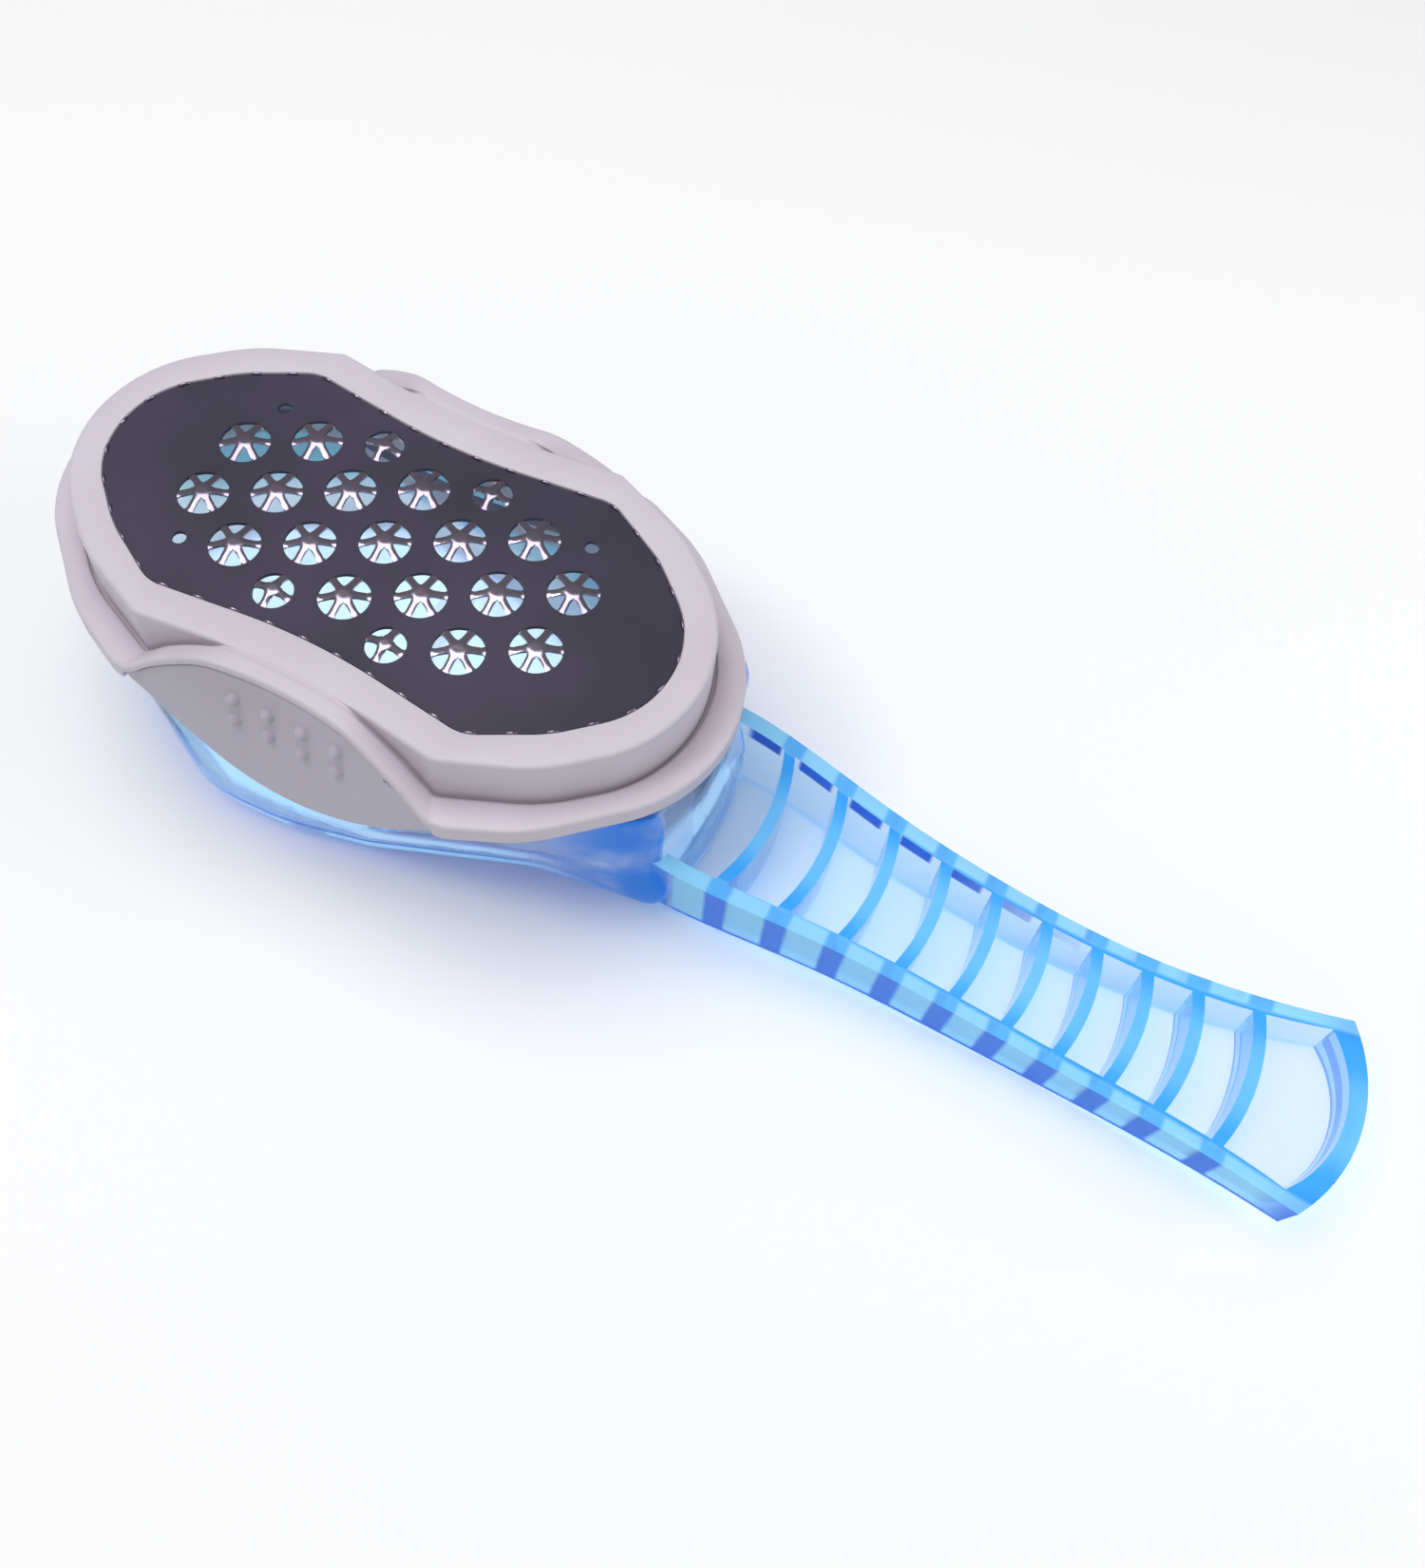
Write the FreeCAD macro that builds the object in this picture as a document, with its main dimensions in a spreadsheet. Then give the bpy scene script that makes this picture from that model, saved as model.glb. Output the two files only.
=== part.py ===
"""Foot rasp with a shavings tray: one translucent tray and handle, and a lift-off rasp head.

Every sub-part is modelled in one local frame: the origin is the centre of the rasp plate's top
face, +X runs along the handle, +Z is up. Its Placement then moves it into the part's own frame,
whose origin is on the surface that the part rests on, under the middle of its length.
"""
import os

import FreeCAD, Part
from FreeCAD import Vector
from math import atan2, cos, degrees, radians, sin, tan

# Driving dimensions, in millimetres and degrees. Depths are measured down from the plate's top face.
DIMENSIONS = {
    "rest_depth": 45.5,
    "head_length": 104.4,
    "handle_reach": 146.1,
    # rasp plate
    "plate_thickness": 0.6,
    "plate_recess_gap": 0.1,
    "flower_pitch": 10.0,
    "flower_radius": 3.55,
    "small_flower_radius": 2.75,
    "spoke_width": 0.75,
    "hub_radius": 1.6,
    "hub_crown_radius": 1.2,
    "hub_rise": 0.7,
    "vent_radius": 1.0,
    # head frame
    "rim_rise": 0.3,
    "deck_thickness": 2.4,
    "ledge_width": 2.2,
    "frame_wall": 2.2,
    "flange_depth": 8.5,
    "flange_bottom": 12.0,
    "crevice_width": 0.6,
    "crevice_depth": 1.2,
    "plug_depth": 15.0,
    "plug_wall": 1.6,
    "plug_clearance": 2.3,
    "lip_flat": 9.5,
    "lip_reach": 24.5,
    "lip_thickness": 1.3,
    # release tabs
    "tab_gap": 0.3,
    "tab_thickness": 1.5,
    "tab_swing_gap": 0.8,
    "tab_depth": 22.8,
    "tab_half_length": 24.0,
    "tab_end_depth": 12.0,
    "tab_end_height": 2.3,
    "tab_flank_place": 17.3,
    "tab_flank_depth": 17.6,
    "tab_crest_top": 26.05,
    "tab_crest_low": 30.7,
    "tab_side_place": 27.0,
    "tab_side_top": 29.85,
    "tab_side_low": 28.45,
    "dot_radius": 0.95,
    "dot_sink": 0.43,
    "dot_columns": 4,
    "dot_rows": 2,
    "dot_shift": 1.2,
    "dot_pitch": 5.3,
    "dot_row_pitch": 4.2,
    "dot_first_depth": 5.8,
    # tray and handle
    "tray_top": 12.1,
    "tray_wall": 1.8,
    "tray_floor": 1.8,
    "bowl_knuckle": 37.0,
    "rail_width": 2.4,
    "handle_floor": 1.3,
    "draft_top": 26.0,
    "side_draft": 1.8,
    "end_wall": 2.2,
    "rib_count": 10,
    "first_rib": 58.3,
    "rib_pitch": 8.7,
    "rib_pitch_change": 0.22,
    "last_rib_extra": 1.4,
    "rib_thickness": 1.75,
    "rib_bulge": 1.8,
    "rib_bulge_half_width": 10.0,
    # room given to the cutting shapes
    "overlap": 0.5,
    "cutter_margin": 3.0,
    "cutter_reach": 40.0,
}

# How far the small flowers are from the middle line, in half rows of the flower lattice.
SMALL_ROW = 2.74

# Where the small round holes of the plate are, in columns and half rows of the flower lattice.
VENTS = ((-2.83, 2.52), (-2.82, -2.53), (2.85, 2.51))

# How far along the lip's swoop, and how far down it, its inner points are.
LIP_SHARES = ((0.22, 0.10), (0.62, 0.52), (0.87, 0.92))

# Levels of the bowl's side, as shares of the way to the knuckle, and of the turn below it, in degrees.
SIDE_SHARES = (0.0, 0.33, 0.67, 1.0)
TURN_ANGLES = (25, 45, 65, 80, 90)

# The smallest rounding that an inset outline keeps.
SHARPEST = 0.3

# Corners of the outlines that are alike in all four quarters: x, y and rounding radius.
QUARTERS = {
    "plate": {"end": (42.9, 6.3, 13.9), "cheek": (33.5, 14.9, 20.0), "shoulder": (23.9, 20.2, 6.0),
              "waist": (0.0, 17.3, 88.0)},
    "deck": {"end": (47.4, 9.1, 20.0), "cheek": (34.7, 20.2, 24.0), "shoulder": (22.6, 25.3, 2.5),
             "waist": (0.0, 22.5, 88.0)},
    "flange": {"end": (52.2, 9.7, 21.8), "cheek": (35.3, 25.0, 24.0), "shoulder": (24.8, 29.8, 7.0),
               "waist": (0.0, 25.0, 60.0)},
}

# Corners of the bowl's outer outlines, for the +Y half, from the handle end round to the far end.
BOWL_CORNERS = ("handle_end", "neck", "handle_cheek", "handle_shoulder", "waist", "far_shoulder",
                "far_cheek", "far_end")
BOWL = {
    "rim": ((50.6, 4.5, 16.0), (48.5, 13.4, 2.5), (34.6, 23.6, 22.0), (25.5, 26.6, 9.0),
            (0.0, 23.2, 60.0), (-25.5, 26.2, 9.0), (-34.6, 23.4, 22.0), (-50.8, 9.4, 20.0)),
    "knuckle": ((52.8, 4.5, 16.0), (50.8, 14.2, 2.0), (33.0, 16.4, 18.0), (8.5, 25.6, 14.0),
                (-4.0, 28.6, 30.0), (-17.0, 29.2, 17.0), (-36.0, 19.6, 14.0), (-45.6, 7.6, 12.0)),
    "sole": ((31.0, 4.0, 6.0), (28.5, 9.0, 5.0), (21.0, 13.2, 12.0), (7.0, 20.2, 12.0),
             (-4.0, 22.8, 30.0), (-15.0, 23.4, 14.0), (-30.5, 15.0, 11.0), (-37.6, 5.9, 8.0)),
}

# Points of the handle's curves: the side of its plan at the top of the draft, and its side profile.
HANDLE = {
    "side": ((44.0, 13.4), (51.0, 14.0), (58.0, 13.7), (74.0, 12.0), (92.0, 11.3), (112.0, 11.6),
             (128.0, 12.8), (141.7, 15.0)),
    "rail": ((44.0, 24.3), (58.0, 26.6), (84.0, 31.7), (114.0, 35.3), (130.0, 34.4), (150.0, 32.0)),
    "belly": ((44.0, 40.6), (58.0, 40.6), (80.0, 43.4), (108.0, 45.3), (128.0, 43.2), (150.0, 38.4)),
}


def corner_rows(outline, corner, values):
    """The sheet rows of one rounded corner."""
    return {f"{outline}_{corner}_{axis}": value for axis, value in zip(("x", "y", "radius"), values)}


def fill_sheet(document):
    """Put every driving dimension in the spreadsheet under its own alias."""
    sheet = document.addObject("Spreadsheet::Sheet", "Dimensions")
    rows = dict(DIMENSIONS)
    for outline, corners in QUARTERS.items():
        for corner, values in corners.items():
            rows.update(corner_rows(outline, corner, values))
    for level, corners in BOWL.items():
        for corner, values in zip(BOWL_CORNERS, corners):
            rows.update(corner_rows(level, corner, values))
    for curve, points in HANDLE.items():
        for index, (along, across) in enumerate(points):
            rows[f"{curve}_{index}_along"] = along
            rows[f"{curve}_{index}_across"] = across
    for row, (alias, value) in enumerate(rows.items(), start=1):
        sheet.set(f"A{row}", alias)
        sheet.set(f"B{row}", str(value))
        sheet.setAlias(f"B{row}", alias)
    document.recompute()
    return sheet


def read_corner(sheet, outline, corner):
    """A corner's x, y and rounding radius."""
    return tuple(sheet.get(f"{outline}_{corner}_{axis}") for axis in ("x", "y", "radius"))


def read_curve(sheet, curve):
    """The points of one of the handle's curves."""
    return [(sheet.get(f"{curve}_{index}_along"), sheet.get(f"{curve}_{index}_across"))
            for index in range(len(HANDLE[curve]))]


# ---------------------------------------------------------------- outlines

def quarter_outline(sheet, name):
    """The corners of a four-fold symmetric outline, counter-clockwise."""
    quarter = [read_corner(sheet, name, corner) for corner in ("end", "cheek", "shoulder")]
    mirrored = [(-x, y, radius) for x, y, radius in reversed(quarter)]
    half = quarter + [read_corner(sheet, name, "waist")] + mirrored
    return half + [(x, -y, radius) for x, y, radius in reversed(half)]


def bowl_outline(sheet, level):
    """The corners of the bowl's outer outline at one level, counter-clockwise."""
    half = [read_corner(sheet, level, corner) for corner in BOWL_CORNERS]
    return half + [(x, -y, radius) for x, y, radius in reversed(half)]


def blend_outlines(first, second, share):
    """The outline that lies part of the way from the first to the second."""
    blended = []
    for start, finish in zip(first, second):
        blended.append(tuple(a + (b - a) * share for a, b in zip(start, finish)))
    return blended


def turn_at(before, corner, after):
    """Unit directions into and out of a corner, and the signed turn between them."""
    into = Vector(corner[0] - before[0], corner[1] - before[1], 0).normalize()
    out = Vector(after[0] - corner[0], after[1] - corner[1], 0).normalize()
    return into, out, atan2(into.cross(out).z, into.dot(out))


def inset(corners, distance):
    """The outline moved inwards by a distance, its rounding kept parallel."""
    moved = []
    count = len(corners)
    for index, corner in enumerate(corners):
        into, out, turn = turn_at(corners[index - 1], corner, corners[(index + 1) % count])
        normal = Vector(-into.y - out.y, into.x + out.x, 0).normalize()
        shift = normal * (distance / cos(turn / 2))
        radius = corner[2] - distance if turn > 0 else corner[2] + distance
        moved.append((corner[0] + shift.x, corner[1] + shift.y, max(radius, SHARPEST)))
    return moved


def rounded_loop(corners, level=0.0):
    """Lines and tangent arcs that follow the corners at one height."""
    pieces = []
    count = len(corners)
    arcs = []
    for index, corner in enumerate(corners):
        into, out, turn = turn_at(corners[index - 1], corner, corners[(index + 1) % count])
        reach = corner[2] * tan(abs(turn) / 2)
        point = Vector(corner[0], corner[1], level)
        start = point - into * reach
        finish = point + out * reach
        towards_centre = (out - into).normalize()
        middle = point + towards_centre * (corner[2] * (1 / cos(turn / 2) - 1))
        arcs.append((start, middle, finish))
    for index, (start, middle, finish) in enumerate(arcs):
        following = arcs[(index + 1) % count][0]
        pieces.append(Part.Arc(start, middle, finish))
        if finish.distanceToPoint(following) > 1e-4:
            pieces.append(Part.LineSegment(finish, following))
    return pieces


def loop_wire(corners, level):
    """A closed wire of a rounded outline at one height."""
    return Part.Wire([piece.toShape() for piece in rounded_loop(corners, level)])


# ---------------------------------------------------------------- PartDesign helpers

def origin_plane(body, role):
    """One of the body's own origin planes."""
    return next(plane for plane in body.Origin.OriginFeatures if plane.Role == role)


def new_body(document, label):
    """An empty body whose label names its file."""
    body = document.addObject("PartDesign::Body", label)
    body.Label = label
    return body


def add_sketch(body, name, geometry, height=None, role="XY_Plane"):
    """A sketch on one of the body's origin planes, raised by an expression."""
    sketch = body.newObject("Sketcher::SketchObject", name)
    sketch.AttachmentSupport = (origin_plane(body, role), [""])
    sketch.MapMode = "FlatFace"
    if height:
        sketch.setExpression("AttachmentOffset.Base.z", height)
    sketch.addGeometry(geometry, False)
    return sketch


def add_pad(body, name, sketch, length, downwards=False):
    """A pad of a sketch, its length bound to the sheet."""
    pad = body.newObject("PartDesign::Pad", name)
    pad.Profile = sketch
    pad.Reversed = downwards
    pad.setExpression("Length", length)
    return pad


def add_pocket(body, name, sketch, length, upwards=False):
    """A pocket of a sketch, its depth bound to the sheet."""
    pocket = body.newObject("PartDesign::Pocket", name)
    pocket.Profile = sketch
    pocket.Reversed = upwards
    pocket.setExpression("Length", length)
    return pocket


# ---------------------------------------------------------------- Part helpers

def solid_feature(document, name, shape):
    """A plain feature that holds a shape made from curves."""
    feature = document.addObject("Part::Feature", name)
    feature.Shape = shape
    return feature


def boolean(document, kind, name, base, tool):
    """A cut, fuse or common of two objects."""
    result = document.addObject(f"Part::{kind}", name)
    result.Base = base
    result.Tool = tool
    return result


def fuse_all(document, name, parts):
    """One fuse of several objects."""
    result = document.addObject("Part::MultiFuse", name)
    result.Shapes = parts
    return result


def spline(points):
    """A smooth curve through a few points."""
    curve = Part.BSplineCurve()
    curve.interpolate([Vector(*point) for point in points])
    return curve


def prism(wire, direction):
    """The solid swept by a flat closed wire along a direction."""
    return Part.Face(wire).extrude(direction)


# ---------------------------------------------------------------- rasp plate

def flower_places(sheet):
    """Centres of the large and of the small flowers, on a triangular lattice."""
    across = sheet.get("flower_pitch") * cos(radians(30))
    half_pitch = sheet.get("flower_pitch") / 2
    large = [(3, 1), (3, -1), (2, 2), (2, 0), (2, -2), (1, 1), (1, -1)]
    large += [(-column, row) for column, row in large] + [(0, 2), (0, 0), (0, -2)]
    small = [(1, SMALL_ROW), (1, -SMALL_ROW), (-1, SMALL_ROW), (-1, -SMALL_ROW)]
    scaled = []
    for places in (large, small):
        scaled.append([Vector(column * across, row * half_pitch, 0) for column, row in places])
    return scaled


def petal(centre, middle_angle, half_sweep, inner, outer, half_spoke):
    """One opening between two spokes: two arcs joined by the spokes' straight sides."""
    rims = []
    for radius in (inner, outer):
        half_angle = half_sweep - degrees(half_spoke / radius)
        angles = (middle_angle - half_angle, middle_angle, middle_angle + half_angle)
        rims.append([centre + Vector(radius * cos(radians(angle)), radius * sin(radians(angle)), 0)
                     for angle in angles])
    near, far = rims
    return [Part.Arc(*far), Part.LineSegment(far[2], near[2]), Part.Arc(*near),
            Part.LineSegment(near[0], far[0])]


def flower(centre, petals, first_angle, radius, sheet):
    """All the openings of one flower."""
    openings = []
    for index in range(petals):
        middle = first_angle + index * 360 / petals
        openings += petal(centre, middle, 180 / petals, sheet.get("hub_radius"), radius,
                          sheet.get("spoke_width") / 2)
    return openings


def make_rasp_plate(document, sheet):
    """The pressed metal plate with its flowers, hubs and small round holes."""
    body = new_body(document, "rasp_plate")
    blank = add_sketch(body, "PlateOutline", rounded_loop(quarter_outline(sheet, "plate")))
    add_pad(body, "Blank", blank, "Dimensions.plate_thickness", downwards=True)
    large, small = flower_places(sheet)
    openings = []
    for centre in large:
        openings += flower(centre, 6, 0, sheet.get("flower_radius"), sheet)
    for centre in small:
        openings += flower(centre, 4, 45, sheet.get("small_flower_radius"), sheet)
    across = sheet.get("flower_pitch") * cos(radians(30))
    half_pitch = sheet.get("flower_pitch") / 2
    for column, row in VENTS:
        centre = Vector(column * across, row * half_pitch, 0)
        openings.append(Part.Circle(centre, Vector(0, 0, 1), sheet.get("vent_radius")))
    holes = add_sketch(body, "Openings", openings)
    add_pocket(body, "Petals", holes, "Dimensions.plate_thickness")
    hubs = [Part.Circle(centre, Vector(0, 0, 1), sheet.get("hub_crown_radius"))
            for centre in large + small]
    crowns = add_sketch(body, "HubOutlines", hubs)
    add_pad(body, "Hubs", crowns, "Dimensions.hub_rise")
    return body


# ---------------------------------------------------------------- head frame

def lip_profile(sheet, drop=0.0):
    """Half of the lip's height line, from its flat middle down to the flange."""
    flat = sheet.get("lip_flat")
    reach = sheet.get("lip_reach")
    top = sheet.get("rim_rise") - drop
    bottom = -sheet.get("flange_depth") - drop
    middle = [(flat + along * (reach - flat), top - down * (top - bottom)) for along, down in LIP_SHARES]
    return [(flat, top)] + middle + [(reach, bottom)]


def lip_cut_geometry(sheet):
    """The region above the lip's height line on both sides, in the XZ plane."""
    geometry = []
    high = sheet.get("cutter_margin")
    beyond = sheet.get("head_length") / 2 + sheet.get("cutter_margin")
    for side in (1, -1):
        line = [(side * x, z, 0) for x, z in lip_profile(sheet)]
        start, finish = Vector(*line[0]), Vector(*line[-1])
        corners = [finish, Vector(side * beyond, finish.y, 0), Vector(side * beyond, high, 0),
                   Vector(start.x, high, 0), start]
        geometry.append(spline(line))
        geometry += [Part.LineSegment(a, b) for a, b in zip(corners, corners[1:])]
    return geometry


def make_head_block(document, sheet):
    """The moulded frame before the tabs' recesses are cut."""
    body = document.addObject("PartDesign::Body", "HeadBlock")
    flange = quarter_outline(sheet, "flange")
    deck = quarter_outline(sheet, "deck")
    plate = quarter_outline(sheet, "plate")
    bottom = "-Dimensions.flange_bottom"
    full_height = "Dimensions.flange_bottom + Dimensions.rim_rise"
    base = add_sketch(body, "FlangeOutline", rounded_loop(flange), bottom)
    add_pad(body, "Flange", base, full_height)
    swoop = add_sketch(body, "LipProfile", lip_cut_geometry(sheet), role="XZ_Plane")
    cut = add_pocket(body, "LipSwoop", swoop, "2 * Dimensions.cutter_reach")
    cut.Midplane = True
    trench = add_sketch(body, "CreviceOutline", rounded_loop(inset(deck, -sheet.get("crevice_width"))),
                        "-Dimensions.flange_depth - Dimensions.crevice_depth")
    add_pocket(body, "Crevice", trench, "Dimensions.crevice_depth + Dimensions.plate_recess_gap",
               upwards=True)
    raised = add_sketch(body, "DeckOutline", rounded_loop(deck), bottom)
    add_pad(body, "Deck", raised, full_height)
    seat = add_sketch(body, "PlateSeat", rounded_loop(inset(plate, -sheet.get("plate_recess_gap"))),
                      "Dimensions.rim_rise")
    add_pocket(body, "PlateRecess", seat, "Dimensions.rim_rise + Dimensions.plate_thickness")
    window = add_sketch(body, "WindowOutline", rounded_loop(inset(plate, sheet.get("ledge_width"))),
                        "Dimensions.rim_rise")
    add_pocket(body, "Window", window, full_height)
    hollow = add_sketch(body, "HollowOutline", rounded_loop(inset(deck, sheet.get("frame_wall"))), bottom)
    add_pocket(body, "Hollow", hollow,
               "Dimensions.flange_bottom - Dimensions.plate_thickness - Dimensions.deck_thickness",
               upwards=True)
    add_plug(body, sheet)
    return body


def add_plug(body, sheet):
    """The ring below the flange that centres the head in the bowl."""
    outer = inset(bowl_outline(sheet, "rim"), sheet.get("tray_wall") + sheet.get("plug_clearance"))
    ring = rounded_loop(outer) + rounded_loop(inset(outer, sheet.get("plug_wall")))
    sketch = add_sketch(body, "PlugOutline", ring, "-Dimensions.plug_depth")
    add_pad(body, "Plug", sketch, "Dimensions.plug_depth - Dimensions.flange_bottom + Dimensions.overlap")


# ---------------------------------------------------------------- release tabs

def tab_band(sheet, side, depth, thickness, clearance):
    """The closed plan outline of a tab's slab at one depth."""
    share = depth / sheet.get("tab_depth")
    crest_top, side_top = sheet.get("tab_crest_top"), sheet.get("tab_side_top")
    crest = crest_top + (sheet.get("tab_crest_low") - crest_top) * share + clearance
    shoulder = side_top + (sheet.get("tab_side_low") - side_top) * share + clearance
    half = sheet.get("tab_side_place")
    outer = spline([(-half, side * shoulder, -depth), (0, side * crest, -depth),
                    (half, side * shoulder, -depth)])
    inner = spline([(half, side * (shoulder - thickness), -depth),
                    (0, side * (crest - thickness), -depth),
                    (-half, side * (shoulder - thickness), -depth)])
    edges = [outer, Part.LineSegment(outer.EndPoint, inner.StartPoint), inner,
             Part.LineSegment(inner.EndPoint, outer.StartPoint)]
    return Part.Wire([edge.toShape() for edge in edges])


def tab_face_wire(sheet, margin):
    """The tab's lens-shaped outline seen from the side, grown by a margin."""
    drop = sheet.get("lip_thickness") + sheet.get("tab_gap") - margin
    half = sheet.get("tab_half_length") + margin
    flank = sheet.get("tab_flank_place") + margin
    flank_level = -sheet.get("tab_flank_depth") - margin
    end_low = -sheet.get("tab_end_depth") - margin
    end_top = (half, end_low + sheet.get("tab_end_height") + 2 * margin)
    profile = lip_profile(sheet, drop)[:-1]
    right = spline([(x, 0, z) for x, z in profile + [end_top]])
    left = spline([(-x, 0, z) for x, z in reversed(profile + [end_top])])
    belly = spline([(half, 0, end_low), (flank, 0, flank_level), (0, 0, -sheet.get("tab_depth") - margin),
                    (-flank, 0, flank_level), (-half, 0, end_low)])
    flat_ends = (Vector(-profile[0][0], 0, profile[0][1]), Vector(profile[0][0], 0, profile[0][1]))
    edges = [right, Part.LineSegment(right.EndPoint, belly.StartPoint), belly,
             Part.LineSegment(belly.EndPoint, left.StartPoint), left, Part.LineSegment(*flat_ends)]
    return Part.Wire([edge.toShape() for edge in edges])


def tab_solid(sheet, side, thickness, clearance, margin):
    """A slab that slopes outwards with depth, trimmed to the tab's lens shape."""
    depth = sheet.get("tab_depth") + sheet.get("cutter_margin")
    slab = Part.makeLoft([tab_band(sheet, side, 0.0, thickness, clearance),
                          tab_band(sheet, side, depth, thickness, clearance)], True, True)
    face = prism(tab_face_wire(sheet, margin), Vector(0, side * sheet.get("cutter_reach"), 0))
    return slab.common(face)


def tab_dots(sheet, side, skin):
    """Two rows of raised finger dots, each part of a sphere sunk in the tab's skin."""
    dots = []
    columns = int(sheet.get("dot_columns"))
    first = sheet.get("dot_shift") - (columns - 1) / 2 * sheet.get("dot_pitch")
    for row in range(int(sheet.get("dot_rows"))):
        depth = sheet.get("dot_first_depth") + row * sheet.get("dot_row_pitch")
        for column in range(columns):
            place = Vector(first + column * sheet.get("dot_pitch"), 0, -depth)
            ray = Part.makeLine(place, place + Vector(0, side * sheet.get("cutter_reach"), 0))
            hit = max((vertex.Point for vertex in skin.common(ray).Vertexes), key=lambda p: side * p.y)
            centre = hit - Vector(0, side * sheet.get("dot_sink"), 0)
            dots.append(Part.makeSphere(sheet.get("dot_radius"), centre))
    return dots


def make_tab(document, sheet, label, side):
    """One press tab with its raised dots."""
    plain = tab_solid(sheet, side, sheet.get("tab_thickness"), 0.0, 0.0)
    skin = solid_feature(document, f"{label}_skin", plain)
    dots = [solid_feature(document, f"{label}_dot", dot) for dot in tab_dots(sheet, side, plain)]
    tab = fuse_all(document, label, [skin] + dots)
    tab.Label = label
    return tab


def make_head_frame(document, sheet):
    """The frame with a recess on each side for its tab."""
    frame = make_head_block(document, sheet)
    outside = sheet.get("cutter_margin")
    thickness = sheet.get("tab_thickness") + sheet.get("tab_swing_gap") + outside
    for side in (1, -1):
        pocket = solid_feature(document, "TabRecess",
                               tab_solid(sheet, side, thickness, outside, sheet.get("tab_gap")))
        frame = boolean(document, "Cut", "RecessedFrame", frame, pocket)
    frame.Label = "head_frame"
    return frame


# ---------------------------------------------------------------- tray and handle

def bowl_solid(sheet, thickness, top, sole_depth):
    """The hull of the bowl, or of its cavity when a wall thickness is given.

    The side runs straight from the rim to the knuckle and then turns under in a quarter ellipse.
    """
    rim, knuckle, sole = (bowl_outline(sheet, level) for level in ("rim", "knuckle", "sole"))
    knuckle_depth = sheet.get("bowl_knuckle")
    levels = [(blend_outlines(rim, knuckle, share), top + (knuckle_depth - top) * share)
              for share in SIDE_SHARES]
    for angle in TURN_ANGLES:
        share = 1 - cos(radians(angle))
        depth = knuckle_depth + (sole_depth - knuckle_depth) * sin(radians(angle))
        levels.append((blend_outlines(knuckle, sole, share), depth))
    wires = [loop_wire(inset(outline, thickness), -depth) for outline, depth in levels]
    return Part.makeLoft(wires, True, False)


def handle_plan(sheet, shift, end_shift, level):
    """The handle's closed plan outline, moved inwards, at one height."""
    side = [(x, y - shift) for x, y in read_curve(sheet, "side")]
    side[-1] = (side[-1][0] - end_shift, side[-1][1])
    apex = Vector(sheet.get("handle_reach") - end_shift, 0, level)
    right = spline([(x, -y, level) for x, y in side])
    left = spline([(x, y, level) for x, y in reversed(side)])
    edges = [right, Part.Arc(right.EndPoint, apex, left.StartPoint), left,
             Part.LineSegment(left.EndPoint, right.StartPoint)]
    return Part.Wire([edge.toShape() for edge in edges])


def drafted_handle(sheet, shift, end_shift):
    """A prism of the handle's plan whose sides lean inwards towards the bottom."""
    top = sheet.get("draft_top") - 2 * sheet.get("cutter_margin")
    bottom = sheet.get("rest_depth") + sheet.get("cutter_margin")
    slope = sheet.get("side_draft") / (sheet.get("rest_depth") - sheet.get("draft_top"))
    wires = []
    for depth in (top, bottom):
        lean = slope * (depth - sheet.get("draft_top"))
        wires.append(handle_plan(sheet, shift + lean, end_shift, -depth))
    return Part.makeLoft(wires, True, True)


def profile_slab(upper, lower, reach, raise_lower=0.0):
    """A solid between two height curves seen from the side, reaching out to both sides."""
    over = spline([(x, 0, -depth) for x, depth in upper])
    under = spline([(x, 0, -depth + raise_lower) for x, depth in reversed(lower)])
    edges = [over, Part.LineSegment(over.EndPoint, under.StartPoint), under,
             Part.LineSegment(under.EndPoint, over.StartPoint)]
    wire = Part.Wire([edge.toShape() for edge in edges])
    wire.translate(Vector(0, -reach, 0))
    return prism(wire, Vector(0, 2 * reach, 0))


def rib_band(sheet, centre):
    """A thin upright band, bowed towards the handle's end."""
    half = sheet.get("rib_thickness") / 2
    bulge = sheet.get("rib_bulge")
    reach = 2 * sheet.get("rib_bulge_half_width")
    bow = bulge * (reach / sheet.get("rib_bulge_half_width")) ** 2
    level = -sheet.get("rest_depth") - sheet.get("overlap")
    wires = []
    for offset in (-half, half):
        wires.append(Part.Arc(Vector(centre + offset + bulge - bow, -reach, level),
                              Vector(centre + offset + bulge, 0, level),
                              Vector(centre + offset + bulge - bow, reach, level)))
    near, far = wires
    edges = [near, Part.LineSegment(near.EndPoint, far.EndPoint), far,
             Part.LineSegment(far.StartPoint, near.StartPoint)]
    wire = Part.Wire(Part.__sortEdges__([edge.toShape() for edge in edges]))
    return prism(wire, Vector(0, 0, sheet.get("cutter_reach")))


def rib_centres(sheet):
    """Where each rib meets the rails: the spacing closes up slowly towards the end."""
    count = int(sheet.get("rib_count"))
    place = sheet.get("first_rib")
    pitch = sheet.get("rib_pitch")
    places = []
    for index in range(count):
        places.append(place)
        place += pitch - index * sheet.get("rib_pitch_change")
    places[-1] += sheet.get("last_rib_extra")
    return places


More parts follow.
